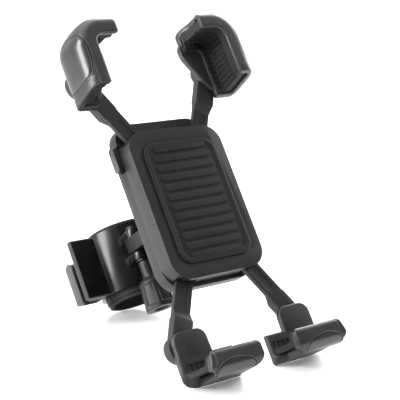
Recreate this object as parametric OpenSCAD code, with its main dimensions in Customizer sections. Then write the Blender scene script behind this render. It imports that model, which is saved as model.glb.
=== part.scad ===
/* [Cradle] */
// Half width over the two upper claws
claw_hw = 49; // [47:0.5:52]
// Height of the claws' top above the phone's lower edge
claw_top = 167.5; // [164:0.5:172]
// Wall radius of a claw's outer corner
claw_rc = 15; // [14:0.5:17]
// Inner end of a claw's top arm, from the centre line
claw_in = 25.5; // [21:0.5:28]
// Outer end of a foot, from the centre line
foot_out = 42.5; // [40:0.5:44]
// Inner end of a foot, from the centre line
foot_in = 10.5; // [9:0.5:14]
// Backward lean of the cradle as it stands
lean = 32.5; // [32.5:0.5:33]

/* [Arms] */
// Angle of the four sliding arms from the horizontal
arm_ang = 61; // [60:1:62]
// Height of the arms' crossing point above the phone's lower edge
arm_zc = 74; // [73:0.5:75]
// Half width of an arm
arm_hw = 4.5; // [4:0.1:4.5]
// Module of the pinion and the racks
gear_m = 1; // [1:0.5:1]

/* [Housing] */
// Half width of the housing
box_hw = 28; // [27:0.5:28]
// Thickness of the housing's back wall
back_t = 1.8; // [1.6:0.1:1.8]

/* [Handlebar clamp] */
// Radius of the bar that the rubber liners take
bar_r = 15.9; // [15.5:0.05:15.9]
// Outer radius of the clamp shells
ring_r = 20.5; // [20.2:0.1:21]
// Height of the clamp shells along the bar
ring_h = 32.5; // [32:0.5:33]
// Radius of the tilt bolt
tilt_r = 2.5; // [2.3:0.1:2.5]

/* [Hidden] */
$fn = 48;
black = [0.03, 0.03, 0.035];
// where the phone's lower glass edge lies in the standing frame
org_y = -68.32;
org_z = 17.308;
// ring axis, hinge axes and levels, in the cradle's own frame
rx = 9.5; ry = 97; rz0 = 57.5; rz1 = rz0 + ring_h;
hy = 70;                       // tilt axis
px = 34; py = ry;              // door hinge pin
bx = -18.25;                   // eye bolt
ly = 103.4; lz = 77;           // lever pivot
split = 0.3;                   // half the gap between the clamp shells
lin_r = 17.7;                  // liner's outer radius
// layers of the sliding arms
ya0 = 16; ya1 = 18.3; yb0 = 18.7; yb1 = 21;
gr = 6 * gear_m;               // pitch radius
pitch = PI * gear_m;

module stand() translate([0, org_y, org_z]) rotate([-lean, 0, 0]) children();
module yex(y0, y1) translate([0, y1, 0]) rotate([90, 0, 0]) linear_extrude(y1 - y0) children();
module xex(x0, x1) translate([x0, 0, 0]) rotate([90, 0, 90]) linear_extrude(x1 - x0) children();
module zex(z0, z1) translate([0, 0, z0]) linear_extrude(z1 - z0) children();
module ycyl(r, y0, y1, x, z) translate([x, y1, z]) rotate([90, 0, 0]) cylinder(r = r, h = y1 - y0);
module xcyl(r, x0, x1, y, z) translate([x0, y, z]) rotate([0, 90, 0]) cylinder(r = r, h = x1 - x0);
module zcyl(r, z0, z1, x, y) translate([x, y, z0]) cylinder(r = r, h = z1 - z0);
module side(s) { if (s > 0) mirror([1, 0, 0]) children(); else children(); }
// rectangle with round corners, from two corners
module rsq(a, b, c, d, r) {
  translate([a + r, b]) square([c - a - 2 * r, d - b]);
  translate([a, b + r]) square([c - a, d - b - 2 * r]);
  for (x = [a + r, c - r], y = [b + r, d - r]) translate([x, y]) circle(r);
}
// capsule of half width r between two points on one axis
module slotx(x0, x1, y, r) {
  translate([x0, y - r]) square([x1 - x0, 2 * r]);
  translate([x0, y]) circle(r);
  translate([x1, y]) circle(r);
}
module slotz(x, z0, z1, r) {
  translate([x - r, z0]) square([2 * r, z1 - z0]);
  translate([x, z0]) circle(r);
  translate([x, z1]) circle(r);
}

// ---- upper claws: a channel section (depth from the outer face, y) led round the corner
module claw_sec() difference() {
  union() {
    rsq(0, -7.5, 9.2, 16, 4.2);
    rsq(3.5, -7.5, 10.2, -4.2, 1.5);
    rsq(4, 12, 13, 16, 1.2);
  }
  rsq(3.4, -4.6, 30, 12.6, 1.5);
}
module liner_sec() difference() {
  intersection() {
    rsq(3.4, -4.6, 30, 12.6, 1.5);
    translate([0, -10]) square([12.6, 24]);
    union() { translate([0, 4]) square([20, 10]); translate([0, -10]) square([9.8, 20]); }
  }
  rsq(8.6, -1, 40, 11.4, 1);
}
module around_corner(z0) {
  zex(z0, claw_top - claw_rc) translate([-claw_hw, 0]) children();
  xex(-claw_hw + claw_rc, -claw_in) translate([0, claw_top]) rotate(-90) children();
  translate([-claw_hw + claw_rc, 0, claw_top - claw_rc]) rotate([-90, 0, 0]) rotate([0, 0, 180])
    rotate_extrude(angle = 90) translate([claw_rc, 0]) mirror([1, 0]) children();
}
// slanted cut of the claw's open lower end
module claw_end(z) translate([-claw_hw - 5, -12, z]) rotate([-9, 0, 0]) translate([0, -8, -30]) cube([30, 50, 30]);
module claw_web() yex(12.9, 16) polygon([[-41, 132], [-33, 134], [-23.5, 151.5], [-23.5, 158], [-41, 160]]);
module side_oval(d) xex(-claw_hw - 0.6, -claw_hw - 0.6 + d) slotz(3.6, 143.6, 149.9, 7.6);
module top_oval(d) translate([0, 0, claw_top + 0.6 - d]) zex(0, d) slotx(-34, -29.5, 3.6, 4.4);
function arm_pt(s, u) = [s * u * cos(arm_ang), arm_zc + u * sin(arm_ang)];
module claw_holes(r, y0, y1) for (u = [75, 82]) ycyl(r, y0, y1, -u * cos(arm_ang), arm_zc + u * sin(arm_ang));
module claw_shell(s) side(s) color(black) difference() {
  union() { around_corner(128) claw_sec(); claw_web(); }
  claw_end(132.6);
  side_oval(1.6);
  top_oval(1.6);
  claw_holes(1.1, 13.2, 17);
}
module claw_liner(s) side(s) color([0.05, 0.05, 0.05]) difference() {
  around_corner(128) liner_sec();
  claw_end(134);
}
module claw_grips(s) side(s) color([0.08, 0.08, 0.09]) { side_oval(1.6); top_oval(1.6); }
module claw_screws(s) side(s) color("silver") for (u = [75, 82]) let (p = arm_pt(-1, u)) difference() {
  union() { ycyl(1.1, 13.2, 19.4, p[0], p[1]); ycyl(2.3, 19.2, 20.8, p[0], p[1]); }
  ycyl(1.1, 19.9, 21, p[0], p[1], $fn = 6);
}

// ---- feet: an upward trough with a tall back web
module foot_sec() difference() {
  union() {
    rsq(-7, -11, 16, 4, 4.4);
    translate([6, -11]) square([8.5, 6]);
    translate([10, -9.5]) square([6, 6]);
    translate([14.5, -9.5]) circle(1.5);
  }
  rsq(-3.8, -7.2, 12.6, 30, 1.5);
  translate([-20, 0.5]) square([25, 20]);
  translate([-8, 0.2]) rotate(-14) translate([0, 0]) square([6, 4]);
}
module foot_liner_sec() difference() {
  intersection() {
    rsq(-3.8, -7.2, 12.6, 30, 1.5);
    translate([-10, -10]) square([30, 10.1]);
  }
  rsq(-1, -4, 11.4, 40, 1);
}
// slanted outer end of a foot, seen from the front
module foot_slant() yex(-20, 13) polygon([[-foot_out - 5, -12], [-foot_out - 0.01, -12], [-foot_out + 3.2, 1], [-foot_out + 5, 30], [-foot_out - 5, 30]]);
module foot_grip_2d() slotx(-33.5, -18.5, -6.2, 2.6);
module foot_holes(r, y0, y1) for (u = [71, 78]) ycyl(r, y0, y1, -u * cos(arm_ang), arm_zc - u * sin(arm_ang));
module foot_shell(s) side(s) color(black) difference() {
  union() {
    xex(-foot_out, -foot_in) foot_sec();
    yex(12.6, 16) rsq(-foot_out, -2, -22, 16, 5);
  }
  foot_slant();
  yex(-7.8, -6.2) foot_grip_2d();
  foot_holes(1.1, 13.2, 17);
}
module foot_liner(s) side(s) color([0.05, 0.05, 0.05]) difference() {
  xex(-foot_out + 0.6, -foot_in - 0.6) foot_liner_sec();
  translate([0.5, 0, 0]) foot_slant();
}
module foot_grip(s) side(s) color([0.08, 0.08, 0.09]) yex(-7.6, -6.2) foot_grip_2d();
module foot_screws(s) side(s) color("silver") for (u = [71, 78]) difference() {
  union() {
    ycyl(1.1, 13.2, 19.4, -u * cos(arm_ang), arm_zc - u * sin(arm_ang));
    ycyl(2.3, 19.2, 20.8, -u * cos(arm_ang), arm_zc - u * sin(arm_ang));
  }
  ycyl(1.1, 19.9, 21, -u * cos(arm_ang), arm_zc - u * sin(arm_ang), $fn = 6);
}

// ---- arms: a bar that carries a rack leg beside the pinion; a = direction of travel
function rack_shift(a) = gr * PI / 180 * (30 * round((a - 90) / 30) - (a - 90));
module rack_teeth(a, u0, u1) {
  h = pitch / 4 - 0.1;
  t = tan(20);
  for (k = [ceil((u0 - rack_shift(a)) / pitch - 0.5) : floor((u1 - rack_shift(a)) / pitch - 0.5)])
    translate([rack_shift(a) + (k + 0.5) * pitch, -gr])
      polygon([[-h - 1.3 * t, -1.3], [h + 1.3 * t, -1.3], [h - 0.65 * t, 0.65], [-h + 0.65 * t, 0.65]]);
}
module arm_2d(a, u1) rotate(a) {
  translate([25, -arm_hw]) square([u1 - 25, 2 * arm_hw]);
  translate([-9, -10.2]) square([36.5, 10.2 - gr - 1.2]);
  translate([24, -10.2]) square([3.5, 8]);
  rack_teeth(a, -9, 20);
}
module arm(a, front, ue, re, us) {
  y0 = front ? ya0 : yb0;
  y1 = front ? ya1 : yb1;
  color([0.12, 0.12, 0.13]) difference() {
    translate([0, 0, arm_zc]) union() {
      yex(y0, y1) arm_2d(a, ue);
      yex(ya0, yb1) rotate(a) { translate([60, -arm_hw - 0.5]) square([ue - 60, 2 * arm_hw + 1]); translate([ue, 0]) circle(re); }
    }
    for (u = us) {
      ycyl(1.15, 10, 30, u * cos(a), arm_zc + u * sin(a));
      ycyl(2.4, 19.2, 30, u * cos(a), arm_zc + u * sin(a));
    }
  }
}
module arm_ul() arm(180 - arm_ang, true, 79, 7.5, [75, 82]);
module arm_ur() arm(arm_ang, false, 79, 7.5, [75, 82]);
module arm_ll() arm(180 + arm_ang, false, 75, 6.5, [71, 78]);
module arm_lr() arm(-arm_ang, true, 75, 6.5, [71, 78]);

// ---- pinion: twelve involute teeth, a ratchet wheel behind them
rb = gr * cos(20);
function inv_pt(r) = let (q = acos(min(1, rb / r))) tan(q) * 180 / PI - q;
half_t = 90 / 12 - 0.1 / gr * 180 / PI + inv_pt(gr);
function flank(k, sgn) = [for (i = [0 : 4]) let (r = rb + (gr + 0.9 - rb) * i / 4, q = k * 30 + sgn * (half_t - inv_pt(r))) [r * cos(q), r * sin(q)]];
module tooth(k) {
  f1 = flank(k, -1);
  f2 = flank(k, 1);
  polygon(concat([[2 * cos(k * 30), 2 * sin(k * 30)], [4.5 * cos(k * 30 - half_t), 4.5 * sin(k * 30 - half_t)]], f1, [for (i = [4 : -1 : 0]) f2[i]], [[4.5 * cos(k * 30 + half_t), 4.5 * sin(k * 30 + half_t)]]));
}
module pinion() color([0.75, 0.73, 0.68]) difference() {
  translate([0, 0, arm_zc]) {
    yex(15.9, 21.3) { circle(4.85); for (k = [0 : 11]) tooth(k); }
    yex(21.3, 22.5) circle(7.6);
    yex(22.5, 24.1) { circle(9.1); for (k = [0 : 23]) rotate(k * 15) polygon([[8.5, -1.1], [10.2, 0.9], [8.5, 1.1]]); }
    yex(24.1, 26.2) circle(3.2);
  }
  ycyl(2.06, 10, 30, 0, arm_zc);
}
function spiral(r, n) = [for (i = [0 : n]) let (q = i * 1080 / n) [(r + 5.4 * i / n) * cos(q), (r + 5.4 * i / n) * sin(q)]];
module clock_spring() color("silver") translate([0, 0, arm_zc]) yex(24.5, 26.1)
  polygon(concat(spiral(3.7, 60), [for (p = [60 : -1 : 0]) spiral(4.2, 60)[p]]));

// ---- housing
module box_2d(d, z0, z1, r) rsq(-box_hw + d, z0 + d, box_hw - d, z1 - d, r - d);
screw_at = [[-24, 76], [24, 76], [0, 108], [0, 40.6]];
module arm_slots() translate([0, 0, arm_zc]) yex(15.8, 21.3) for (a = [arm_ang, 180 - arm_ang, 180 + arm_ang, -arm_ang])
  rotate(a) translate([24, -arm_hw - 0.9]) square([40, 2 * arm_hw + 1.8]);
module housing_front() color(black) difference() {
  union() {
    yex(13, 15.6) box_2d(0, 38, 114, 10);
    yex(15.5, 21.8) difference() { box_2d(0, 38, 114, 10); box_2d(2.2, 38, 114, 10); }
    ycyl(2, 15.5, 26.3, 0, arm_zc);
    for (p = screw_at) ycyl(2.4, 15.5, 21.8, p[0], p[1]);
    for (x = [-26.4, 26.4]) translate([x - 1.6, 15.5, 74]) cube([3.2, 6.3, 4]);
    for (z = [39, 109.5]) translate([-1.4, 15.5, z - 1]) cube([2.8, 6.3, 4]);
  }
  arm_slots();
  for (p = screw_at) ycyl(1, 16.4, 22, p[0], p[1]);
  yex(12, 13.6) housing_pad_2d(0);
}
module housing_pad_2d(d) rsq(-22 + d, 45 + d, 22 - d, 107 - d, 7 - d);
module housing_pad() color([0.06, 0.06, 0.06]) difference() {
  yex(11.4, 13.6) housing_pad_2d(0);
  for (k = [-5 : 5]) translate([-17, 11, 76 + k * 5 - 0.6]) cube([34, 1, 1.2]);
}
module housing_back() color(black) difference() {
  union() {
    yex(21.8, 26.6) difference() { box_2d(0, 36, 122, 11); box_2d(2.2, 36, 114, 11); }
    yex(26.5, 26.5 + back_t) box_2d(0, 36, 122, 11);
    for (p = screw_at) ycyl(2.6, 21.8, 26.6, p[0], p[1]);
    // seat of the turntable
    ycyl(22, 28.2, 31, 0, arm_zc);
    // pawl post
    ycyl(1.5, 22, 27, -12, 97);
    // button guide
    translate([-27.5, 24.6, 99]) cube([8, 2.1, 11.5]);
    translate([-17, 21.9, 100.8]) cube([1, 4.9, 2.4]);
  }
  ycyl(17.6, 26.5 + back_t, 40, 0, arm_zc);
  for (p = screw_at) { ycyl(1.25, 20, 40, p[0], p[1]); ycyl(2.4, 26.6, 28.4, p[0], p[1]); }
  for (k = [0 : 3]) rotate_y(45 + 90 * k) ycyl(0.9, 28.8, 40, 19.9, 0);
  // button window
  translate([-29, 21.6, 98.2]) cube([4, 4.7, 13.1]);
  translate([-29, 21.6, 99.7]) cube([8, 2.9, 10.1]);
}
module rotate_y(q) translate([0, 0, arm_zc]) rotate([0, q, 0]) children();
module housing_screws() color("silver") for (p = screw_at) difference() {
  union() { ycyl(1, 16.4, 26.8, p[0], p[1]); ycyl(2.2, 26.7, 28.1, p[0], p[1]); }
  ycyl(1, 27.3, 29, p[0], p[1], $fn = 6);
}
module retaining_ring() color([0.1, 0.1, 0.11]) difference() {
  union() {
    ycyl(22, 31, 33.6, 0, arm_zc);
    for (k = [0 : 11]) rotate_y(30 * k) translate([0, 31, 0]) translate([21.2, 0, -1.6]) cube([1.4, 2.6, 3.2]);
  }
  ycyl(13.1, 30, 40, 0, arm_zc);
  for (k = [0 : 3]) rotate_y(45 + 90 * k) { ycyl(0.95, 30, 40, 19.9, 0); ycyl(1.7, 32.4, 40, 19.9, 0); }
}
module ring_screws() color("silver") for (k = [0 : 3]) rotate_y(45 + 90 * k) difference() {
  union() { ycyl(0.9, 28.8, 32.5, 19.9, 0); ycyl(1.6, 32.4, 33.5, 19.9, 0); }
  ycyl(0.8, 33, 34, 19.9, 0, $fn = 6);
}
// ---- release button, pawl and return spring
module release_button() color([0.1, 0.1, 0.11]) {
  difference() {
    union() {
      xex(-31, -28.2) rsq(21.9, 98.5, 26, 111, 1.6);
      xex(-28.4, -19.8) rsq(21.9, 100, 24.3, 109.5, 0.8);
      translate([-20, 21.9, 105]) cube([2.8, 2.4, 4]);
    }
    xcyl(0.95, -26, -18, 23.1, 102);
  }
}
module button_spring() color("silver") difference() {
  xcyl(0.8, -23.4, -17, 23.1, 102);
  xcyl(0.5, -24, -16, 23.1, 102);
}
module lock_pawl() color([0.75, 0.73, 0.68]) difference() {
  yex(22.4, 24.1) {
    translate([-12, 97]) circle(3);
    polygon([[-14.4, 97], [-13.4, 93], [-10.4, 88], [-7.2, 82.9], [-6, 83.5], [-9.4, 95], [-9.8, 99], [-13.4, 108.6], [-16.6, 108.6]]);
  }
  ycyl(1.56, 20, 30, -12, 97);
}

// ---- turntable with one ear between the clamp's prongs, and its tilt bolt
module ear_2d(r) { translate([0, hy]) circle(r); translate([-r, 36]) square([2 * r, hy - 36]); }
module swivel_fork() color(black) difference() {
  union() {
    ycyl(17.5, 28.4, 30.9, 0, arm_zc);
    ycyl(13, 30.8, 37, 0, arm_zc);
    zex(66, 83.5) rsq(-6.5, 34, 6.5, 57, 1);
    zex(71.3, 78.7) ear_2d(6.5);
  }
  zcyl(tilt_r + 0.05, 50, 95, 0, hy);
}
module tilt_bolt() color("silver") difference() {
  union() { zcyl(tilt_r, 45.5, 83.3, 0, hy); zcyl(4.2, 83.1, 84.8, 0, hy); }
  zcyl(1.8, 83.9, 92, 0, hy, $fn = 6);
}
module tilt_washer() color("silver") difference() { zcyl(4.6, 65.9, 66.9, 0, hy); zcyl(tilt_r + 0.05, 50, 70, 0, hy); }
module tilt_knob() color([0.1, 0.1, 0.11]) difference() {
  union() {
    intersection() {
      translate([0, hy, 39.5]) {
        cylinder(r1 = 8.6, r2 = 7.2, h = 14.5);
        translate([0, 0, 14.5]) cylinder(r1 = 7.2, r2 = 4.2, h = 2.8);
      }
      zcyl(8.9, 39.5, 56.8, 0, hy, $fn = 6);
    }
    zcyl(3.9, 56.2, 65.7, 0, hy);
  }
  zcyl(tilt_r + 0.05, 44, 68, 0, hy);
  zcyl(4, 38, 44.1, 0, hy);
}

// ---- bar clamp
module half_plane(s) translate([-80, s < 0 ? ry - 200 - split : ry + split]) square([200, 200]);
module at_ring() translate([rx, ry]) children();
dir = [rx, ry - hy] / norm([rx, ry - hy]);
prp = [dir[1], -dir[0]];
module prong_2d() difference() {
  union() {
    translate([0, hy]) circle(5.3);
    polygon([for (q = [[0, 5.3], [14, 8.1], [14, -8.1], [0, -5.3]]) [0, hy] + q[0] * dir + q[1] * prp]);
  }
  at_ring() circle(lin_r + 0.4);
}
module clamp_front() color(black) difference() {
  union() {
    zex(rz0, rz1) intersection() { at_ring() difference() { circle(ring_r); circle(lin_r); } half_plane(-1); }
    // tightening flange
    xex(-24.5, rx - ring_r + 1.6) rsq(92.8, rz0, ry - split, rz1, 1.2);
    // prongs to the tilt bolt
    zex(78.9, 82.9) prong_2d();
    zex(67.1, 71.1) prong_2d();
    // door hinge, middle knuckle
    zcyl(4, 66.2, 81.3, px, py);
    translate([rx + 18.6, 93.2, 66.2]) cube([px - rx - 18.6, ry - split - 93.2, 15.1]);
  }
  zcyl(tilt_r + 0.1, 50, 95, 0, hy);
  zcyl(1.5, 50, 95, px, py);
  ycyl(3.6, 93.7, 97, bx, lz);
}
module clamp_rear() color(black) difference() {
  union() {
    zex(rz0, rz1) intersection() { at_ring() difference() { circle(ring_r); circle(lin_r); } half_plane(1); }
    xex(-21.8, rx - ring_r + 1.6) rsq(ry + split, rz0, 99.8, rz1, 1);
    for (q = [[rz0, 66], [81.5, rz1]]) {
      zcyl(4, q[0], q[1], px, py);
      translate([rx + 18.6, ry + split, q[0]]) cube([px - rx - 18.6, 3.5, q[1] - q[0]]);
    }
  }
  zcyl(1.56, 50, 95, px, py);
  ycyl(2.4, 96, 101, bx, lz);
}
module bar_liner(s) color([0.06, 0.06, 0.06]) intersection() {
  difference() {
    union() {
      zcyl(lin_r, rz0 - 4.95, rz1 + 2.2, rx, ry);
      zcyl(lin_r + 0.7, rz0 - 3.2, rz0, rx, ry);
      zcyl(lin_r + 0.7, rz1, rz1 + 1.4, rx, ry);
    }
    zcyl(bar_r, 40, 100, rx, ry);
  }
  zex(40, 100) half_plane(s);
}
module insert_nut() color([0.75, 0.6, 0.3]) difference() { ycyl(3.6, 93.7, 96.6, bx, lz); ycyl(2.4, 90, 98, bx, lz); }
module hinge_pin() color("silver") { zcyl(1.5, rz0 + 0.3, rz1 - 0.3, px, py); }
module eye_bolt() color("silver") difference() {
  union() { ycyl(1.9, 94, ly, bx, lz); xcyl(3, bx - 1.6, bx + 1.6, ly, lz); }
  xcyl(1.5, bx - 3, bx + 3, ly, lz);
}
module cam_pin() color("silver") xcyl(1.5, bx - 5.6, bx + 5.6, ly, lz);
module cam_lever() color([0.2, 0.2, 0.21]) difference() {
  union() {
    xcyl(3.3, bx - 6, bx + 6, ly, lz);
    xex(bx - 6, bx + 6) rsq(100.4, 57.5, 106.7, lz, 1.5);
  }
  xcyl(1.56, bx - 8, bx + 8, ly, lz);
  translate([bx - 1.9, 95, 71.5]) cube([3.8, 20, 20]);
  translate([bx - 4.4, 99, 50]) cube([8.8, 5.8, 19]);
}

stand() housing_front();
stand() housing_pad();
stand() housing_back();
stand() housing_screws();
stand() clock_spring();
stand() retaining_ring();
stand() ring_screws();
stand() button_spring();
stand() claw_shell(-1);  // claw_shell_ul
stand() claw_liner(-1);  // claw_liner_ul
stand() claw_grips(-1);  // claw_grips_ul
stand() arm_ul();
stand() claw_screws(-1);  // claw_screws_ul
stand() claw_shell(1);  // claw_shell_ur
stand() claw_liner(1);  // claw_liner_ur
stand() claw_grips(1);  // claw_grips_ur
stand() arm_ur();
stand() claw_screws(1);  // claw_screws_ur
stand() foot_shell(-1);  // foot_shell_l
stand() foot_liner(-1);  // foot_liner_l
stand() foot_grip(-1);  // foot_grip_l
stand() arm_ll();
stand() foot_screws(-1);  // foot_screws_l
stand() foot_shell(1);  // foot_shell_r
stand() foot_liner(1);  // foot_liner_r
stand() foot_grip(1);  // foot_grip_r
stand() arm_lr();
stand() foot_screws(1);  // foot_screws_r
stand() pinion();
stand() release_button();
stand() lock_pawl();
stand() swivel_fork();
stand() tilt_bolt();
stand() tilt_washer();
stand() tilt_knob();
stand() clamp_front();
stand() bar_liner(-1);  // bar_liner_front
stand() insert_nut();
stand() hinge_pin();
stand() clamp_rear();
stand() bar_liner(1);  // bar_liner_rear
stand() eye_bolt();
stand() cam_pin();
stand() cam_lever();
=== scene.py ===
import math
import bpy, bmesh
import numpy as np
from mathutils import Vector, Matrix


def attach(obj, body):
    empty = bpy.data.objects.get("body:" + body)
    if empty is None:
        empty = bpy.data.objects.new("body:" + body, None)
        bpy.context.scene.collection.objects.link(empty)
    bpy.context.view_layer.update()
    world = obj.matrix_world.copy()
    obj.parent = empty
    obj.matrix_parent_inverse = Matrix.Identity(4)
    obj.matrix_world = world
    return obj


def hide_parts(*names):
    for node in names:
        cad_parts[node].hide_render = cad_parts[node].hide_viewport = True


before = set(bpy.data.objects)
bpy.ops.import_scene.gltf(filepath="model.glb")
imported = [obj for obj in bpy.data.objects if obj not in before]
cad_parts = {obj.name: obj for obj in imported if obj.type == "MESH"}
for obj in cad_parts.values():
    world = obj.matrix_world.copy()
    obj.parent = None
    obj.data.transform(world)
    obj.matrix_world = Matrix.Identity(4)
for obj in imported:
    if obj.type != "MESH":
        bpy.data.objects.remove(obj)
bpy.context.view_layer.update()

# ---------------------------------------------------------------- frame of the leaning cradle
LEAN = math.radians(32.5)
CL, SL = math.cos(LEAN), math.sin(LEAN)
OY, OZ = -68.32, 17.308


def row(p):
    """Cradle millimetres (x right, y back, z up along the phone) to row metres."""
    p = np.asarray(p, float).reshape(-1, 3)
    return np.stack([p[:, 0], CL * p[:, 1] + SL * p[:, 2] + OY, -SL * p[:, 1] + CL * p[:, 2] + OZ], 1) * 0.001


scene = bpy.context.scene

# ---------------------------------------------------------------- materials


def new_mat(name):
    m = bpy.data.materials.new(name)
    m.use_nodes = True
    nt = m.node_tree
    nt.nodes.clear()
    out = nt.nodes.new("ShaderNodeOutputMaterial")
    b = nt.nodes.new("ShaderNodeBsdfPrincipled")
    nt.links.new(b.outputs[0], out.inputs[0])
    return m, nt, b


def coords(nt, scale=1.0):
    tc = nt.nodes.new("ShaderNodeTexCoord")
    mp = nt.nodes.new("ShaderNodeMapping")
    mp.inputs["Scale"].default_value = (scale,) * 3
    nt.links.new(tc.outputs["Object"], mp.inputs["Vector"])
    return mp.outputs[0]


def noise(nt, vec, scale, detail=3.0, rough=0.55):
    n = nt.nodes.new("ShaderNodeTexNoise")
    n.inputs["Scale"].default_value = scale
    n.inputs["Detail"].default_value = detail
    n.inputs["Roughness"].default_value = rough
    nt.links.new(vec, n.inputs["Vector"])
    return n.outputs["Fac"]


def ramp(nt, fac, stops):
    r = nt.nodes.new("ShaderNodeValToRGB")
    els = r.color_ramp.elements
    while len(els) < len(stops):
        els.new(0.5)
    for e, (pos, col) in zip(els, stops):
        e.position = pos
        e.color = (*col, 1) if len(col) == 3 else col
    nt.links.new(fac, r.inputs[0])
    return r.outputs[0]


def grey(v):
    return (v * 0.95, v * 0.985, v * 1.09)


def edge_mask(nt, radius, gain=6.0):
    """Bright where the surface turns within the radius: worn and rubbed edges."""
    bv = nt.nodes.new("ShaderNodeBevel")
    bv.samples = 4
    bv.inputs["Radius"].default_value = radius
    ge = nt.nodes.new("ShaderNodeNewGeometry")
    d = nt.nodes.new("ShaderNodeVectorMath")
    d.operation = "DOT_PRODUCT"
    nt.links.new(bv.outputs[0], d.inputs[0])
    nt.links.new(ge.outputs["Normal"], d.inputs[1])
    s = nt.nodes.new("ShaderNodeMath")
    s.operation = "SUBTRACT"
    s.inputs[0].default_value = 1.0
    nt.links.new(d.outputs["Value"], s.inputs[1])
    g = nt.nodes.new("ShaderNodeMath")
    g.operation = "MULTIPLY"
    g.use_clamp = True
    g.inputs[1].default_value = gain
    nt.links.new(s.outputs[0], g.inputs[0])
    return g.outputs[0]


def plastic(name, base, rough=(0.34, 0.46), grain=2600, bump=0.10, coat=0.0, spec=0.5, wear=0.5, smudge=90, ior=1.5):
    m, nt, b = new_mat(name)
    v = coords(nt)
    n1 = noise(nt, v, smudge, 4)
    n2 = noise(nt, v, grain, 2, 0.6)
    col = ramp(nt, n1, [(0.25, grey(base * 0.8)), (0.75, grey(base * 1.35))])
    if wear:
        e = edge_mask(nt, 0.0006)
        mx = nt.nodes.new("ShaderNodeMix")
        mx.data_type = "RGBA"
        k = nt.nodes.new("ShaderNodeMath")
        k.operation = "MULTIPLY"
        nt.links.new(e, k.inputs[0])
        nt.links.new(ramp(nt, noise(nt, v, 420, 3), [(0.3, (0, 0, 0)), (0.75, (wear,) * 3)]), k.inputs[1])
        nt.links.new(k.outputs[0], mx.inputs["Factor"])
        nt.links.new(col, mx.inputs["A"])
        mx.inputs["B"].default_value = (*grey(base * 3.2 + 0.02), 1)
        col = mx.outputs["Result"]
    nt.links.new(col, b.inputs["Base Color"])
    nt.links.new(ramp(nt, n1, [(0.25, (rough[0],) * 3), (0.8, (rough[1],) * 3)]), b.inputs["Roughness"])
    b.inputs["IOR"].default_value = ior
    b.inputs["Specular IOR Level"].default_value = spec
    b.inputs["Coat Weight"].default_value = coat
    b.inputs["Coat Roughness"].default_value = 0.12
    bp = nt.nodes.new("ShaderNodeBump")
    bp.inputs["Strength"].default_value = bump
    bp.inputs["Distance"].default_value = 0.00012
    nt.links.new(n2, bp.inputs["Height"])
    nt.links.new(bp.outputs[0], b.inputs["Normal"])
    return m


def metal(name, base, rough=(0.22, 0.4), stretch=(1, 1, 14), bump=0.12):
    m, nt, b = new_mat(name)
    tc = nt.nodes.new("ShaderNodeTexCoord")
    mp = nt.nodes.new("ShaderNodeMapping")
    mp.inputs["Scale"].default_value = stretch
    nt.links.new(tc.outputs["Object"], mp.inputs["Vector"])
    n1 = noise(nt, mp.outputs[0], 380, 4)
    n2 = noise(nt, mp.outputs[0], 1500, 2)
    dark = tuple(c * 0.72 for c in base)
    nt.links.new(ramp(nt, n1, [(0.3, dark), (0.7, base)]), b.inputs["Base Color"])
    nt.links.new(ramp(nt, n2, [(0.3, (rough[0],) * 3), (0.7, (rough[1],) * 3)]), b.inputs["Roughness"])
    b.inputs["Metallic"].default_value = 1.0
    bp = nt.nodes.new("ShaderNodeBump")
    bp.inputs["Strength"].default_value = bump
    bp.inputs["Distance"].default_value = 0.00008
    nt.links.new(n2, bp.inputs["Height"])
    nt.links.new(bp.outputs[0], b.inputs["Normal"])
    return m


M_SHELL = plastic("shell_black", 0.013, rough=(0.33, 0.44), grain=3000, bump=0.22, spec=0.62)
M_PANEL = plastic("panel_gloss", 0.010, rough=(0.28, 0.36), grain=2200, bump=0.06, coat=0.35, spec=0.6, wear=0.25)
M_CLAMP = plastic("clamp_gloss", 0.0028, rough=(0.22, 0.30), grain=1400, bump=0.07, coat=0.08, spec=0.42, wear=0.25)
M_KNOB = plastic("knob_satin", 0.010, rough=(0.40, 0.50), grain=1600, bump=0.08, spec=0.42, wear=0.3)
M_FORK = plastic("fork_satin", 0.006, rough=(0.30, 0.40), grain=1600, bump=0.08, spec=0.42, wear=0.25)
M_CASE = plastic("housing_satin", 0.011, rough=(0.36, 0.48), grain=3400, bump=0.26, spec=0.5)
M_ARM = plastic("arm_nylon", 0.014, rough=(0.40, 0.52), grain=2600, bump=0.25, spec=0.45)
M_LEVER = plastic("lever_satin", 0.042, rough=(0.36, 0.46), grain=2800, bump=0.2, spec=0.6)
M_RUBBER = plastic("rubber", 0.009, rough=(0.58, 0.72), grain=1800, bump=0.34, spec=0.35, wear=0.0)
M_GEAR = plastic("acetal", 0.62, rough=(0.38, 0.5), grain=2000, bump=0.1, wear=0.0)
M_STEEL = metal("zinc_steel", (0.62, 0.62, 0.64))
M_BLACKSTEEL = metal("black_steel", (0.045, 0.045, 0.048), rough=(0.36, 0.5))
M_SPRING = metal("spring_wire", (0.55, 0.55, 0.57), stretch=(10, 1, 1))
M_BRASS = metal("brass", (0.72, 0.52, 0.24))

# ---------------------------------------------------------------- mesh helpers


def smooth_by_angle(o, deg=32):
    me = o.data
    me.polygons.foreach_set("use_smooth", [True] * len(me.polygons))
    try:
        me.set_sharp_from_angle(angle=math.radians(deg))
    except Exception:
        pass
    me.update()


def make(name, verts_mm, faces, mat, deg=32, slots=None):
    me = bpy.data.meshes.new(name)
    me.from_pydata([tuple(v) for v in row(verts_mm)], [], [tuple(f) for f in faces])
    me.validate(clean_customdata=False)
    o = bpy.data.objects.new(name, me)
    scene.collection.objects.link(o)
    me.materials.append(mat)
    bm = bmesh.new()
    bm.from_mesh(me)
    bmesh.ops.recalc_face_normals(bm, faces=bm.faces)
    bm.to_mesh(me)
    bm.free()
    smooth_by_angle(o, deg)
    return o


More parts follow.
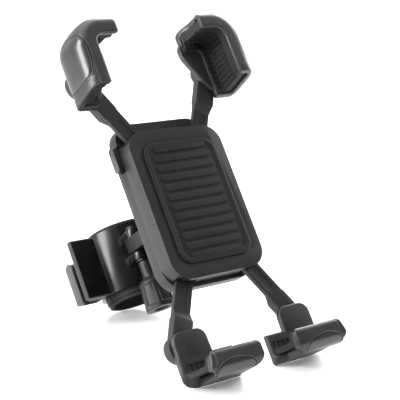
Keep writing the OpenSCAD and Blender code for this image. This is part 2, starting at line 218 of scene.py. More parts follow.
def apply_mods(o):
    dg = bpy.context.evaluated_depsgraph_get()
    dg.update()
    me = bpy.data.meshes.new_from_object(o.evaluated_get(dg))
    old = o.data
    o.modifiers.clear()
    o.data = me
    bpy.data.meshes.remove(old)


def bevel(o, width_mm, segs=3, deg=35):
    md = o.modifiers.new("bevel", "BEVEL")
    md.width = width_mm / 1000
    md.segments = segs
    md.limit_method = "ANGLE"
    md.angle_limit = math.radians(deg)
    md.use_clamp_overlap = True
    md.miter_outer = "MITER_ARC"
    apply_mods(o)


def join(name, objs):
    bpy.ops.object.select_all(action="DESELECT")
    for o in objs:
        o.select_set(True)
    bpy.context.view_layer.objects.active = objs[0]
    bpy.ops.object.join()
    o = bpy.context.view_layer.objects.active
    o.name = name
    o.data.name = name
    return o


def done(o, body, slot, *nodes):
    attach(o, body)
    if nodes:
        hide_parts(*nodes)
    return o


def refine(node, body, slot, mat, width=0.5, segs=3, deg=34, name=None, cut=(), add=()):
    """A rounded, smooth copy of a CAD node."""
    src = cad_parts[node]
    me = src.data.copy()
    o = bpy.data.objects.new(name or "fine_" + node, me)
    scene.collection.objects.link(o)
    bm = bmesh.new()
    bm.from_mesh(me)
    bmesh.ops.remove_doubles(bm, verts=bm.verts, dist=2e-6)
    bmesh.ops.dissolve_limit(bm, angle_limit=math.radians(0.12), verts=bm.verts, edges=bm.edges)
    bmesh.ops.recalc_face_normals(bm, faces=bm.faces)
    bm.to_mesh(me)
    bm.free()
    me.materials.clear()
    me.materials.append(mat)
    for c in cut:
        md = o.modifiers.new("cut", "BOOLEAN")
        md.operation = "DIFFERENCE"
        md.solver = "EXACT"
        md.object = c
        apply_mods(o)
        cm = c.data
        bpy.data.objects.remove(c)
        bpy.data.meshes.remove(cm)
    if width:
        bevel(o, width, segs, deg)
    if add:
        o = join(o.name, [o] + list(add))
    smooth_by_angle(o, 32)
    if body:
        done(o, body, slot, node)
    return o


def keep(node, mat):
    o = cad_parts[node]
    o.data.materials.clear()
    o.data.materials.append(mat)


# ---------------------------------------------------------------- section sweeps


def arc(cx, cy, r, a0, a1, n, r2=None):
    r2 = r if r2 is None else r2
    return [(cx + r * math.cos(math.radians(a0 + (a1 - a0) * i / n)), cy + r2 * math.sin(math.radians(a0 + (a1 - a0) * i / n))) for i in range(n + 1)]


def resample(pts, n):
    p = np.array(pts, float)
    d = np.r_[0, np.cumsum(np.hypot(*np.diff(p, axis=0).T))]
    ok = np.r_[True, np.diff(d) > 1e-6]
    p, d = p[ok], d[ok]
    t = np.linspace(0, d[-1], n)
    return np.stack([np.interp(t, d, p[:, 0]), np.interp(t, d, p[:, 1])], 1), t


def smoothstep(a, b, x):
    t = np.clip((x - a) / (b - a), 0, 1)
    return t * t * (3 - 2 * t)


def corner(r, d):
    """How far an outline with corner radius r is set back at distance d from its edge."""
    k = np.clip(r - np.asarray(d, float), 0, r)
    return r - np.sqrt(r * r - k * k)


def spline(pts, n):
    """Closed smooth curve through points."""
    p = np.array(pts, float)
    m = len(p)
    out = []
    per = n // m + 1
    for i in range(m):
        a, b, c, d = p[i - 1], p[i], p[(i + 1) % m], p[(i + 2) % m]
        for t in np.linspace(0, 1, per, endpoint=False):
            out.append(0.5 * ((2 * b) + (c - a) * t + (2 * a - 5 * b + 4 * c - d) * t ** 2 + (3 * b - a - 3 * c + d) * t ** 3))
    out = np.array(out)
    d = np.r_[0, np.cumsum(np.linalg.norm(np.diff(np.vstack([out, out[:1]]), axis=0), axis=1))]
    t = np.linspace(0, d[-1], n, endpoint=False)
    cl = np.vstack([out, out[:1]])
    return np.stack([np.interp(t, d, cl[:, 0]), np.interp(t, d, cl[:, 1])], 1)


def sdf(s, q, poly):
    """Signed distance to a closed outline, negative inside."""
    P = np.stack([np.asarray(s, float).ravel(), np.asarray(q, float).ravel()], 1)
    a, b = poly, np.roll(poly, -1, 0)
    ab = b - a
    best = np.full(len(P), 1e9)
    inside = np.zeros(len(P), bool)
    for i in range(len(a)):
        ap = P - a[i]
        t = np.clip((ap @ ab[i]) / max(ab[i] @ ab[i], 1e-12), 0, 1)
        best = np.minimum(best, np.hypot(*(ap - t[:, None] * ab[i]).T))
        c = ((a[i, 1] > P[:, 1]) != (b[i, 1] > P[:, 1]))
        if abs(ab[i, 1]) > 1e-12:
            inside ^= c & (P[:, 0] < (b[i, 0] - a[i, 0]) * (P[:, 1] - a[i, 1]) / ab[i, 1] + a[i, 0])
    return np.where(inside, -best, best).reshape(np.shape(s))


class Sweep:
    """A channel led along a path: outer and inner profile (w, y), both listed from the lip to the back edge."""

    def __init__(self, outer, inner, point, s0, s1, n=110, e0=None, e1=None):
        self.out, self.q = resample(outer, n)
        self.inn, self.qi = resample(inner, n)
        self.n, self.point, self.s0, self.s1 = n, point, s0, s1
        loop = np.vstack([self.out, self.inn[::-1]])
        seg = np.roll(loop, -1, 0) - np.roll(loop, 1, 0)
        seg /= np.maximum(np.linalg.norm(seg, axis=1)[:, None], 1e-9)
        nr = np.stack([seg[:, 1], -seg[:, 0]], 1)
        area = 0.5 * np.sum(loop[:, 0] * np.roll(loop[:, 1], -1) - np.roll(loop[:, 0], -1) * loop[:, 1])
        self.loop, self.nrm = loop, nr if area > 0 else -nr
        z = np.zeros(n)
        self.e0 = z if e0 is None else e0(self.q, self.out[:, 0])
        self.e1 = z if e1 is None else e1(self.q, self.out[:, 0])

    def outer_at(self, s, q, off=0.0):
        w = np.interp(q, self.q, self.out[:, 0]) + off * np.interp(q, self.q, self.nrm[: self.n, 0])
        y = np.interp(q, self.q, self.out[:, 1]) + off * np.interp(q, self.q, self.nrm[: self.n, 1])
        return self.point(s, w, y)

    def q_at(self, w, y):
        return float(self.q[np.hypot(self.out[:, 0] - w, self.out[:, 1] - y).argmin()])

    def build(self, name, mat, ds=0.4, edge=0.7, disp=None, rib=None):
        n, loop, nrm = self.n, self.loop, self.nrm
        e0, e1 = np.r_[self.e0, self.e0[::-1]], np.r_[self.e1, self.e1[::-1]]
        a0, a1 = self.s0 + e0, self.s1 - e1
        st = []
        roll = [math.pi / 2 * k / 4 for k in range(5)]
        for a in roll:
            st.append((a0 + edge * (1 - math.sin(a)) * 0 + edge * (1 - math.cos(a)), -edge * (1 - math.sin(a))))
        m = int((self.s1 - self.s0 - 2 * edge) / ds)
        for t in np.linspace(0, 1, m + 1)[1:-1]:
            st.append((a0 + edge + t * (a1 - a0 - 2 * edge), 0.0))
        for a in reversed(roll):
            st.append((a1 - edge * (1 - math.cos(a)), -edge * (1 - math.sin(a))))
        grid = []
        S = np.array([s[:n] for s, _ in st])
        D = disp(S, np.broadcast_to(self.q, S.shape)) if disp else np.zeros_like(S)
        mask = np.r_[np.zeros(n), np.clip(np.minimum(np.arange(n), n - 1 - np.arange(n)) / (0.05 * n), 0, 1)]
        for i, (s, sh) in enumerate(st):
            p = loop + nrm * sh
            p[:n] += nrm[:n] * D[i][:, None]
            if rib:
                ph = (s / rib[0]) % 1.0
                p = p - nrm * (mask * rib[1] * (0.5 - 0.5 * np.tanh(9 * (np.abs(ph - 0.5) - 0.2))))[:, None]
            grid.append(self.point(s, p[:, 0], p[:, 1]))
        N = 2 * n
        V = np.vstack(grid)
        F = []
        for i in range(len(grid) - 1):
            for j in range(N):
                a, b = i * N + j, i * N + (j + 1) % N
                F.append((a, b, b + N, a + N))
        for base in (0, (len(grid) - 1) * N):
            for j in range(n - 1):
                F.append((base + j, base + j + 1, base + N - 2 - j, base + N - 1 - j))
        return make(name, V, F, mat, 42)


def offset(poly, d):
    t = np.roll(poly, -1, 0) - np.roll(poly, 1, 0)
    t /= np.linalg.norm(t, axis=1)[:, None]
    nn = np.stack([t[:, 1], -t[:, 0]], 1)
    area = 0.5 * np.sum(poly[:, 0] * np.roll(poly[:, 1], -1) - np.roll(poly[:, 0], -1) * poly[:, 1])
    return poly + (nn if area > 0 else -nn) * d


def panel(name, sw, poly, mat, cen, proud=0.3, crown=0.3, depth=1.0, nr=30):
    """A crowned inlay lying on a swept surface, closed, with a rolled rim."""
    nt = len(poly)
    c = np.array(cen, float)
    body = list(np.linspace(0.04, 0.93, nr))
    radii = body + [0.955, 0.975, 0.988, 0.996, 1.0, 1.0]
    offs = [proud + crown * (1 - r * r) for r in body] + [proud * 0.93, proud * 0.74, proud * 0.42, proud * 0.05, -0.35, -depth]
    V = [sw.outer_at(np.array([c[0]]), np.array([c[1]]), proud + crown)[0]]
    for r, o in zip(radii, offs):
        p = c + (poly - c) * r
        V.extend(sw.outer_at(p[:, 0], p[:, 1], o))
    F = [(0, 1 + j, 1 + (j + 1) % nt) for j in range(nt)]
    R = len(radii)
    for i in range(R - 1):
        for j in range(nt):
            a, b = 1 + i * nt + j, 1 + i * nt + (j + 1) % nt
            F.append((a, a + nt, b + nt, b))
    # closed underside, a second skin that follows the surface
    for r in (0.8, 0.6, 0.4, 0.2):
        p = c + (poly - c) * r
        V.extend(sw.outer_at(p[:, 0], p[:, 1], -depth))
    for i in range(4):
        for j in range(nt):
            a, b = 1 + (R - 1 + i) * nt + j, 1 + (R - 1 + i) * nt + (j + 1) % nt
            F.append((a, a + nt, b + nt, b))
    V.append(sw.outer_at(np.array([c[0]]), np.array([c[1]]), -depth)[0])
    last = 1 + (R + 3) * nt
    F += [(len(V) - 1, last + (j + 1) % nt, last + j) for j in range(nt)]
    return make(name, np.array(V), F, mat, 42)


def rim(name, sw, poly, mat, gap=0.3, width=0.9, height=0.16):
    """A fine raised lip that runs round an inlay."""
    sec = [(0, -0.7), (0, -0.05), (0.1, height * 0.75), (0.25, height), (width * 0.55, height * 0.9), (width * 0.85, height * 0.35), (width, -0.12), (width, -0.7)]
    nt, k = len(poly), len(sec)
    V = []
    for d, h in sec:
        p = offset(poly, gap + d)
        V.extend(sw.outer_at(p[:, 0], p[:, 1], h))
    F = []
    for i in range(k):
        for j in range(nt):
            a, b = i * nt + j, i * nt + (j + 1) % nt
            c, d = ((i + 1) % k) * nt + (j + 1) % nt, ((i + 1) % k) * nt + j
            F.append((a, b, c, d))
    return make(name, np.array(V), F, mat, 42)


def rrect(x0, z0, x1, z1, r, n=8):
    pts = []
    for cx, cz, a in ((x1 - r, z0 + r, -90), (x1 - r, z1 - r, 0), (x0 + r, z1 - r, 90), (x0 + r, z0 + r, 180)):
        pts += arc(cx, cz, r, a, a + 90, n)
    return pts


def plate(name, poly, y0, y1, mat, bev=0.4, segs=3):
    """Closed plate from an XZ outline, between two depths."""
    n = len(poly)
    V = [(x, y0, z) for x, z in poly] + [(x, y1, z) for x, z in poly]
    F = [tuple(range(n)), tuple(range(2 * n - 1, n - 1, -1))] + [(i, (i + 1) % n, n + (i + 1) % n, n + i) for i in range(n)]
    o = make(name, V, F, mat, 40)
    if bev:
        bevel(o, bev, segs, 40)
        smooth_by_angle(o, 40)
    return o


# ---------------------------------------------------------------- claws
HW, TOP, RC, CIN = 49.0, 167.5, 15.0, 25.5
L1 = TOP - RC - 128.0            # straight side, from z = 128
L2 = RC * math.pi / 2            # corner
L3 = HW - RC - CIN               # top arm


def claw_point(sgn):
    def f(s, w, y):
        s, w, y = np.broadcast_arrays(np.asarray(s, float), np.asarray(w, float), np.asarray(y, float))
        zend = 132.7 - 0.158 * (y + 12)          # the open end is slanted
        z1 = zend + s / L1 * (TOP - RC - zend)
        a = np.clip((s - L1) / L2, 0, 1) * math.pi / 2
        x = np.where(s < L1, -HW + w, np.where(s < L1 + L2, -HW + RC - (RC - w) * np.cos(a), -HW + RC + (s - L1 - L2)))
        z = np.where(s < L1, z1, np.where(s < L1 + L2, TOP - RC + (RC - w) * np.sin(a), TOP - w))
        return np.stack([x * (-sgn), y, z], -1)
    return f


def bulge(w0, y0, y1, p, n=40):
    """Outer side as a full, soft curve from the front face round to the back face."""
    h, c = (y1 - y0) / 2, (y1 + y0) / 2
    out = []
    for i in range(n + 1):
        t = -math.pi / 2 + math.pi * i / n
        cs, sn = math.cos(t), math.sin(t)
        if i == n // 2:
            p += 1.1
        out.append((w0 - w0 * abs(cs) ** (2 / p), c + h * math.copysign(abs(sn) ** (2 / p), sn)))
    return out


claw_outer = arc(8.7, -5.9, 1.5, 28, -88, 8) + bulge(6.4, -7.4, 15.95, 2.75) + arc(11.8, 14.75, 1.2, 90, 0, 6)
claw_inner = [(10.0, -4.95), (9.4, -4.6)] + arc(4.9, -3.1, 1.5, 270, 180, 6) + arc(4.9, 11.1, 1.5, 180, 90, 6) + arc(12.4, 13.2, 0.6, -90, 0, 4) + [(13.0, 13.5)]


def build_claw(tag, sgn):
    body = "claw_" + tag
    sw = Sweep(claw_outer, claw_inner, claw_point(sgn), 0.0, L1 + L2 + L3, 120,
               e0=lambda q, w: corner(2.8, q),
               e1=lambda q, w: corner(2.4, q) + corner(4.2, w))
    Q = sw.q_at
    side = spline([(7.0, Q(0.5, -2.6)), (8.2, Q(1.6, -5.2)), (12.5, Q(2.8, -6.6)), (18.5, Q(3.4, -7.0)), (24.5, Q(2.9, -6.7)), (29.2, Q(1.5, -5.0)), (31.3, Q(0.5, -2.0)),
                   (31.9, Q(0, 3.5)), (31.3, Q(0.4, 9.5)), (29.2, Q(1.5, 13.4)), (24.5, Q(2.8, 15.0)), (18.5, Q(3.3, 15.3)), (12.5, Q(2.8, 15.0)), (8.4, Q(1.5, 13.4)), (7.0, Q(0.5, 10.5)), (6.6, Q(0, 4.3))], 200)
    top = spline([(38.6, Q(0, 3.6)), (40.0, Q(0.4, -1.6)), (42.5, Q(1.1, -4.2)), (45.4, Q(1.5, -5.2)), (48.4, Q(1.1, -4.2)), (50.4, Q(0.4, -1.6)), (51.2, Q(0, 3.6)),
                  (50.4, Q(0.4, 9.4)), (48.4, Q(1.0, 12.3)), (45.2, Q(1.4, 13.3)), (42.2, Q(1.0, 12.3)), (39.8, Q(0.4, 9.4))], 160)

    def disp(s, q):
        d1, d2 = sdf(s, q, side), sdf(s, q, top)
        out = -0.75 * smoothstep(0.75, -0.05, d1) - 0.75 * smoothstep(0.7, -0.05, d2)
        out += 0.16 * smoothstep(5.6, 4.4, s) * smoothstep(2.0, 5.0, q)
        return out

    shell = sw.build("claw_shell_fine_" + tag, M_SHELL, 0.38, 0.75, disp)
    web = plate("claw_web_" + tag, [(-sgn * x, z) for x, z in [(-40.5, 131.5), (-37.5, 131.4), (-34.4, 132.8), (-32.6, 134.8), (-24.2, 150.2), (-23.5, 152.5), (-23.5, 156.3), (-24.6, 158.5), (-27.0, 159.6), (-40.5, 161)]], 13.0, 15.9, M_SHELL, 0.6)
    r1 = rim("rim_a_" + tag, sw, side, M_SHELL)
    r2 = rim("rim_b_" + tag, sw, top, M_SHELL, 0.28, 0.8, 0.14)
    done(join("claw_shell_fine_" + tag, [shell, web, r1, r2]), body, "black_shell", "claw_shell_" + tag)
    p1 = panel("claw_panel_side_" + tag, sw, side, M_PANEL, (19.2, Q(0, 4.2)), 0.14, 0.42)
    p2 = panel("claw_panel_top_" + tag, sw, top, M_PANEL, (45.2, Q(0, 4.0)), 0.12, 0.42)
    done(join("claw_panels_" + tag, [p1, p2]), body, "grip_panel", "claw_grips_" + tag)
    lo = [(9.6, -4.5)] + arc(4.95, -3.05, 1.43, 270, 180, 5) + arc(4.95, 11.05, 1.43, 180, 90, 5) + [(12.5, 12.5)]
    li = [(9.75, -1.1)] + arc(9.6, 0.0, 1.0, 265, 180, 4) + arc(9.6, 10.4, 1.0, 180, 90, 4) + [(12.5, 11.45)]
    ln = Sweep(lo, li, claw_point(sgn), 1.3, L1 + L2 + L3 - 0.7, 70, e0=lambda q, w: corner(1.5, q), e1=lambda q, w: corner(1.6, q) + corner(2.0, w - 3.4)).build("claw_liner_fine_" + tag, M_RUBBER, 0.3, 0.3, None, (2.9, 0.7))
    done(ln, body, "rubber", "claw_liner_" + tag)


build_claw("ul", -1)
build_claw("ur", 1)

# ---------------------------------------------------------------- feet
FO, FI = 42.5, 10.5


def foot_point(sgn):
    def f(s, w, y):
        # w is the height above the foot's bottom; the outer end slants on the front wall
        s, w, y = np.broadcast_arrays(np.asarray(s, float), np.asarray(w, float), np.asarray(y, float))
        sl = 3.2 * np.clip(w / 12.0, 0, 1.05) * smoothstep(14.0, 8.0, y)
        x = -FO + sl + s / (FO - FI) * (FO - FI - sl)
        return np.stack([x * (-sgn), y, -11.0 + w], -1)
    return f


foot_outer = arc(8.95, -4.95, 2.5, 18, -90, 12) + [(7.4, -7.5), (6.2, -7.55)] + arc(5.2, -2.2, 5.2, 270, 180, 22, 5.35) + [(0.02, 4.0), (0.02, 10.0)] + arc(1.5, 14.45, 1.5, 180, 90, 6) + [(8.0, 15.95)] + arc(13.9, 14.9, 1.05, 90, 0, 5)
foot_inner = [(11.2, -4.0), (10.6, -3.85)] + arc(5.4, -2.2, 1.5, 270, 180, 6) + arc(5.4, 11.1, 1.5, 180, 90, 6) + [(12.0, 12.6)] + arc(13.9, 13.5, 0.85, -90, 0, 4)


def build_foot(tag, arm, sgn):
    body = "foot_" + tag
    T = FO - FI
    sw = Sweep(foot_outer, foot_inner, foot_point(sgn), 0.0, T, 110,
               e0=lambda q, w: corner(3.6, q * 0.9) + 1.5 * corner(5.0, w),
               e1=lambda q, w: corner(5.0, q * 0.9) + corner(4.6, w) * smoothstep(34.0, 26.0, q))
    Q = sw.q_at
    lens = spline([(5.0, Q(2.8, -6.9)), (7.0, Q(4.1, -7.4)), (10.0, Q(5.1, -7.5)), (13.5, Q(5.5, -7.5)), (17.5, Q(5.2, -7.5)), (21.5, Q(4.3, -7.4)), (24.8, Q(2.8, -6.9)), (26.2, Q(1.1, -5.3)),
                   (25.4, Q(0.2, -3.0)), (22.0, Q(0.05, -0.8)), (15.5, Q(0.02, 0.2)), (9.0, Q(0.05, -0.6)), (5.4, Q(0.2, -2.8)), (4.0, Q(1.0, -5.0))], 170)
    ql = Q(2.4, -6.6)

    def disp(s, q):
        out = -0.75 * smoothstep(0.7, -0.05, sdf(s, q, lens))
        seam = 2.5 + 0.5 * np.cos((q - ql) / 6.0)
        out += -0.32 * np.exp(-((s - seam) / 0.34) ** 2) * smoothstep(0.6, 2.2, q) * smoothstep(26.0, 20.0, q)
        out += -0.26 * smoothstep(6.0, 0.0, T - s) * smoothstep(1.0, 6.0, q) * smoothstep(24.0, 14.0, q)
        return out

    shell = sw.build("foot_shell_fine_" + tag, M_SHELL, 0.38, 0.75, disp)
    pts = [(x * (-sgn), z) for x, z in arc(-36.5, 10.0, 5.4, 180, 90, 8) + arc(-27.6, 10.4, 5.0, 90, 0, 8) + [(-22.3, 3.0), (-22.3, 1.0), (-41.9, 1.0), (-41.9, 2.0)]]
    web = plate("foot_web_" + tag, pts, 12.65, 15.9, M_SHELL, 0.7)
    r1 = rim("rim_f_" + tag, sw, lens, M_SHELL, 0.28, 0.8, 0.12)
    done(join("foot_shell_fine_" + tag, [shell, web, r1]), body, "black_shell", "foot_shell_" + tag)
    p1 = panel("foot_panel_" + tag, sw, lens, M_PANEL, (15.2, Q(2.0, -6.3)), 0.05, 0.0, 1.0)
    done(p1, body, "grip_panel", "foot_grip_" + tag)
    lo = [(10.7, -3.75)] + arc(5.45, -2.15, 1.43, 270, 180, 5) + arc(5.45, 11.05, 1.43, 180, 90, 5) + [(10.9, 12.5)]
    li = [(10.9, -1.1)] + arc(8.0, 0.0, 1.0, 265, 180, 4) + arc(8.0, 10.4, 1.0, 180, 90, 4) + [(10.9, 11.45)]
    ln = Sweep(lo, li, foot_point(sgn), 0.9, T - 0.8, 70, e0=lambda q, w: corner(2.6, q), e1=lambda q, w: corner(3.2, q)).build("foot_liner_fine_" + tag, M_RUBBER, 0.3, 0.3, None, (2.9, 0.65))
    done(ln, body, "rubber", "foot_liner_" + tag)


build_foot("l", "ll", -1)
build_foot("r", "lr", 1)

# ---------------------------------------------------------------- rubber pad: slab, frame and twelve ribs
parts = [plate("pad_base", rrect(-21.9, 45.1, 21.9, 106.9, 6.9, 10), 12.15, 13.55, M_RUBBER, 0.25)]
for k in range(-6, 6):
    zc = 76 + (k + 0.5) * 5
    hw_ = 17.2 if abs(k + 0.5) < 5 else 15.6
    parts.append(plate("pad_rib_%d" % (k + 6), rrect(-hw_, zc - 1.75, hw_, zc + 1.75, 1.7, 6), 11.42, 12.5, M_RUBBER, 0.5, 4))
outer_l, inner_l = rrect(-21.9, 45.1, 21.9, 106.9, 6.9, 10), rrect(-19.2, 47.8, 19.2, 104.2, 4.6, 10)
nn = len(outer_l)
ring_s = [(outer_l, 12.6), (outer_l, 12.1), (None, 0.18), (None, 0.5), (None, 0.82), (inner_l, 12.1), (inner_l, 12.6)]
V = []
for o_, y_ in ring_s:
    if o_ is None:
        f_ = y_
        V += [(a[0] * (1 - f_) + b[0] * f_, 11.85 - 0.3 * math.sin(math.pi * f_) ** 0.7, a[1] * (1 - f_) + b[1] * f_) for a, b in zip(outer_l, inner_l)]
    else:
        V += [(a[0], y_, a[1]) for a in o_]
F = []
for i in range(len(ring_s)):
    i2 = (i + 1) % len(ring_s)
    for j in range(nn):
        F.append((i * nn + j, i * nn + (j + 1) % nn, i2 * nn + (j + 1) % nn, i2 * nn + j))
parts.append(make("pad_frame", V, F, M_RUBBER, 45))
done(join("pad_fine", parts), "cradle", "rubber", "housing_pad")

# ---------------------------------------------------------------- refined CAD shapes
refine("housing_front", "cradle", "black_shell", M_CASE, 0.8)
refine("housing_back", "cradle", "black_shell", M_CASE, 0.8)
refine("retaining_ring", "cradle", "black_shell", M_CASE, 0.35)
refine("release_button", "button", "black_shell", M_PANEL, 0.5)


def along(a, u, v, y):
    """A point beside a sliding arm: u along it, v across, y through the housing."""
    c, sn = math.cos(math.radians(a)), math.sin(math.radians(a))
    return (u * c - v * sn, y, 74 + u * sn + v * c)


def solid(name, a, outline, y0, y1, mat):
    n = len(outline)
    V = [along(a, u, v, y0) for u, v in outline] + [along(a, u, v, y1) for u, v in outline]
    F = [tuple(range(n)), tuple(range(2 * n - 1, n - 1, -1))] + [(i, (i + 1) % n, n + (i + 1) % n, n + i) for i in range(n)]
    return make(name, V, F, mat, 40)


for t, ang, body, front in (("ul", 119, "claw_ul", True), ("ur", 61, "claw_ur", False), ("ll", 241, "foot_l", False), ("lr", 299, "foot_r", True)):
    face = 16.0 if front else 18.7
    stad = arc(33.5, 0, 2.3, 90, 270, 10) + arc(53.0, 0, 2.3, -90, 90, 10)
    cutter = solid("cutter_" + t, ang, stad, face - 1, face + 0.5, M_ARM)
    # ramp from the thin bar to the full depth of the end block
    ya, yb, yc = (18.25, 18.35, 20.95) if front else (18.75, 18.65, 16.05)
    V = [along(ang, 55.6, -4.45, ya), along(ang, 55.6, 4.45, ya), along(ang, 60.5, 4.95, ya), along(ang, 60.5, -4.95, ya),
         along(ang, 55.6, -4.4, yb), along(ang, 55.6, 4.4, yb), along(ang, 60.5, 4.95, yc), along(ang, 60.5, -4.95, yc)]
    ramp_o = make("ramp_" + t, V, [(0, 1, 2, 3), (4, 5, 6, 7), (0, 1, 5, 4), (1, 2, 6, 5), (2, 3, 7, 6), (3, 0, 4, 7)], M_ARM, 30)
    bevel(ramp_o, 0.3, 3, 30)
    taper = solid("taper_" + t, ang, [(57.0, -4.45), (57.0, 4.45), (60.6, 4.95), (60.6, -4.95)], 16.05 if front else 18.75, 18.25 if front else 20.95, M_ARM)
    bevel(taper, 0.3, 3, 30)
    refine("arm_" + t, body, "arm_plastic", M_ARM, 0.35, cut=[cutter], add=[ramp_o, taper])

# knob: six sides with sunk panels, a round shoulder and a neck
NT = 288
prof = [(2.58, 46.0, 0, 0), (2.58, 44.6, 0, 0), (2.75, 44.15, 0, 0), (3.6, 44.12, 0, 0), (3.95, 43.8, 0, 0), (3.98, 41.0, 0, 0), (4.05, 40.0, 0, 0), (4.4, 39.56, 0, 0), (6.4, 39.52, 0.3, 0)]
for i in range(5):
    a = math.radians(90 * i / 4)
    prof.append((7.9 + 0.65 * math.sin(a), 40.17 - 0.65 * math.cos(a), 1, 0))
for i in range(1, 46):
    z = 40.3 + (53.6 - 40.3) * i / 45
    prof.append((8.56 - 1.36 * (z - 39.5) / 14.5, z, 1, 1))
prof += [(7.05, 54.1, 1, 0), (6.8, 54.5, 0.9, 0), (6.2, 55.1, 0.6, 0), (5.5, 55.7, 0.3, 0), (4.7, 56.2, 0.1, 0), (4.15, 56.6, 0, 0), (3.88, 57.2, 0, 0), (3.85, 60, 0, 0), (3.85, 65.0, 0, 0), (3.75, 65.45, 0, 0), (3.4, 65.68, 0, 0), (2.8, 65.68, 0, 0), (2.58, 65.4, 0, 0), (2.58, 56.0, 0, 0)]
V = []
for R_, z_, m_, g_ in prof:
    for j in range(NT):
        th = 2 * math.pi * j / NT
        k = (th + math.pi / 6) % (math.pi / 3) - math.pi / 6          # angle from the middle of a side
        flat = 7.7 / math.cos(k)
        soft = (R_ ** -14 + flat ** -14) ** (-1 / 14) * 1.035
        rr = R_ * (1 - m_) + min(R_, soft) * m_
        if g_:
            hx = abs(k * 7.6) - 2.75
            hz = max(42.3 - z_, z_ - 52.6)
            d_ = max(hx, hz)
            rr -= 0.42 * float(smoothstep(0.35, -0.1, d_))
            rr += 0.10 * math.exp(-((d_ - 0.55) / 0.25) ** 2)
            rr = min(rr, R_)
        # sides face like the moulded ones: flats across the x axis are corners
        V.append((rr * math.cos(th + math.pi / 6), 70 + rr * math.sin(th + math.pi / 6), z_))
F = []
for i in range(len(prof)):
    i2 = (i + 1) % len(prof)
    for j in range(NT):
        F.append((i * NT + j, i * NT + (j + 1) % NT, i2 * NT + (j + 1) % NT, i2 * NT + j))
done(make("knob_fine", V, F, M_KNOB, 40), "knob", "black_shell", "tilt_knob")
refine("swivel_fork", "fork", "clamp_plastic", M_FORK, 0.8)
refine("clamp_front", "clamp", "clamp_plastic", M_CLAMP, 0.7)
refine("clamp_rear", "door", "clamp_plastic", M_CLAMP, 0.7)


def rounded(pts, radii, n=4):
    """A closed outline with its corners rounded."""
    out = []
    for i, (p, r_) in enumerate(zip(pts, radii)):
        p, a_, b_ = np.array(p, float), np.array(pts[i - 1], float), np.array(pts[(i + 1) % len(pts)], float)
        if not r_:
            out.append(tuple(p))
            continue
        u_, v_ = (a_ - p) / np.linalg.norm(a_ - p), (b_ - p) / np.linalg.norm(b_ - p)
        for k_ in range(n + 1):
            t_ = k_ / n
            out.append(tuple(p + r_ * ((1 - t_) ** 2 * u_ + t_ ** 2 * v_)))
    return out


# rubber lining of the bar clamp: two lips and fine grip grooves round the bore
lp, lr = [(15.9, 52.55), (17.7, 52.55), (17.7, 54.3), (18.4, 54.3), (18.4, 57.5), (17.7, 57.5), (17.7, 90.0), (18.4, 90.0), (18.4, 91.4), (17.7, 91.4), (17.7, 92.2), (15.9, 92.2)], [0.4, 0.35, 0.0, 0.35, 0.0, 0.0, 0.0, 0.0, 0.3, 0.0, 0.3, 0.4]
for i in range(12):
    z_ = 89.6 - i * 3.1
    lp += [(15.9, z_ + 0.55), (16.3, z_ + 0.3), (16.3, z_ - 0.3), (15.9, z_ - 0.55)]
    lr += [0.1, 0.1, 0.1, 0.1]
prof = rounded(lp, lr)
NA = 96
for side, body, node in ((-1, "clamp", "bar_liner_front"), (1, "door", "bar_liner_rear")):
    V = []
    for j in range(NA + 1):
        for r_, z_ in prof:
            e_ = math.asin(0.3 / r_)
            th = e_ + (math.pi - 2 * e_) * j / NA + (math.pi if side < 0 else 0)
            V.append((9.5 + r_ * math.cos(th), 97 + r_ * math.sin(th), z_))
    m_ = len(prof)
    F = [(j * m_ + i, j * m_ + (i + 1) % m_, (j + 1) * m_ + (i + 1) % m_, (j + 1) * m_ + i) for j in range(NA) for i in range(m_)]
    F += [tuple(range(m_)), tuple(range(NA * m_ + m_ - 1, NA * m_ - 1, -1))]
    done(make("fine_" + node, V, F, M_RUBBER, 40), body, "rubber", node)
caps = []
for x0 in (-24.2, -12.8):
    ring_ = [(1.9 * math.cos(2 * math.pi * j / 40), 1.9 * math.sin(2 * math.pi * j / 40)) for j in range(40)]
    V = [(x0, 103.4 + p, 77 + q) for p, q in ring_] + [(x0 + 0.5, 103.4 + p, 77 + q) for p, q in ring_]
    caps.append(make("cap", V, [tuple(range(40)), tuple(range(79, 39, -1))] + [(j, (j + 1) % 40, 40 + (j + 1) % 40, 40 + j) for j in range(40)], M_LEVER, 40))
refine("cam_lever", "lever", "clamp_plastic", M_LEVER, 0.6, add=caps)
for n in ("housing_screws", "ring_screws", "claw_screws_ul", "claw_screws_ur", "foot_screws_l", "foot_screws_r", "hinge_pin", "eye_bolt", "cam_pin"):
    keep(n, M_STEEL)
for n in ("tilt_bolt", "tilt_washer"):
    keep(n, M_BLACKSTEEL)
for n in ("clock_spring", "button_spring"):
    keep(n, M_SPRING)
for n in ("pinion", "lock_pawl"):
    keep(n, M_GEAR)
keep("insert_nut", M_BRASS)

# ---------------------------------------------------------------- floor, light, camera
fl = bpy.data.meshes.new("floor")
S = 9.0
fl.from_pydata([(-S, -S, -0.0002), (S, -S, -0.0002), (S, S, -0.0002), (-S, S, -0.0002)], [], [(0, 1, 2, 3)])
floor = bpy.data.objects.new("floor", fl)
scene.collection.objects.link(floor)
fm, fnt, fb = new_mat("floor_white")
fb.inputs["Base Color"].default_value = (0.93, 0.93, 0.935, 1)
fb.inputs["Roughness"].default_value = 0.38
fb.inputs["Emission Color"].default_value = (1, 1, 1, 1)
fb.inputs["Emission Strength"].default_value = 0.16
fb.inputs["Specular IOR Level"].default_value = 0.35
fl.materials.append(fm)

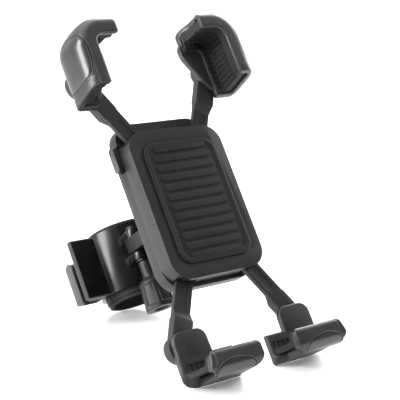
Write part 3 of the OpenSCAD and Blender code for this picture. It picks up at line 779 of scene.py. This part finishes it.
w = bpy.data.worlds.new("studio")
scene.world = w
w.use_nodes = True
wn = w.node_tree
bg = wn.nodes["Background"]
wc = wn.nodes.new("ShaderNodeTexCoord")
wd = wn.nodes.new("ShaderNodeVectorMath")
wd.operation = "DOT_PRODUCT"
wd.inputs[1].default_value = (0.62, 0.76, 0.18)      # the white backdrop lies behind the object
wn.links.new(wc.outputs["Generated"], wd.inputs[0])
wm = wn.nodes.new("ShaderNodeMapRange")
wm.inputs["From Min"].default_value = -1
wn.links.new(wd.outputs["Value"], wm.inputs["Value"])
wn.links.new(ramp(wn, wm.outputs[0], [(0.0, (0.10, 0.10, 0.11)), (0.42, (0.26, 0.26, 0.27)), (0.66, (0.75, 0.75, 0.76)), (0.8, (1.06, 1.06, 1.06))]), bg.inputs[0])
bg.inputs[1].default_value = 1.0


def area(name, loc, target, size, power, size_y=None):
    d = bpy.data.lights.new(name, "AREA")
    d.energy = power
    d.shape = "RECTANGLE"
    d.size = size
    d.size_y = size_y or size
    o = bpy.data.objects.new(name, d)
    scene.collection.objects.link(o)
    o.location = loc
    o.rotation_euler = (Vector(target) - Vector(loc)).to_track_quat("-Z", "Y").to_euler()
    return o


C = (0, 0, 0.08)
area("key_left", (-0.73, 0.24, 0.36), C, 0.28, 9.5, 0.7)
area("over_front", (-0.25, -0.75, 0.75), C, 0.5, 3.2, 0.35)
area("back_top", (0.8, 0.78, 0.66), C, 0.8, 8.5, 0.8)
area("right_rim", (0.75, 0.1, 0.3), C, 0.2, 3.0, 0.6)
sd = bpy.data.lights.new("overhead", "SUN")
sd.energy = 1.7
sd.angle = math.radians(70)
so = bpy.data.objects.new("overhead", sd)
scene.collection.objects.link(so)
so.rotation_euler = (math.radians(-18), math.radians(-14), 0)

AZ, EL, DIST = math.radians(-39.1), math.radians(11.7), 0.573
back = Vector((math.sin(AZ) * math.cos(EL), -math.cos(AZ) * math.cos(EL), math.sin(EL)))
fwd = -back
right = fwd.cross(Vector((0, 0, 1))).normalized()
up = right.cross(fwd)
mid = Vector([float(v) for v in row([(-2.5, 0, 79.5)])[0]])
target = mid + right * (-0.0023) + up * (-0.0085)
cd = bpy.data.cameras.new("cam")
cam = bpy.data.objects.new("cam", cd)
scene.collection.objects.link(cam)
cd.lens = 1214 / 400 * 36
cd.sensor_width = 36
cd.clip_start, cd.clip_end = 0.01, 20
cam.location = target + back * DIST
cam.rotation_euler = fwd.to_track_quat("-Z", "Y").to_euler()
scene.camera = cam
scene.view_settings.view_transform = "Standard"
scene.view_settings.look = "None"
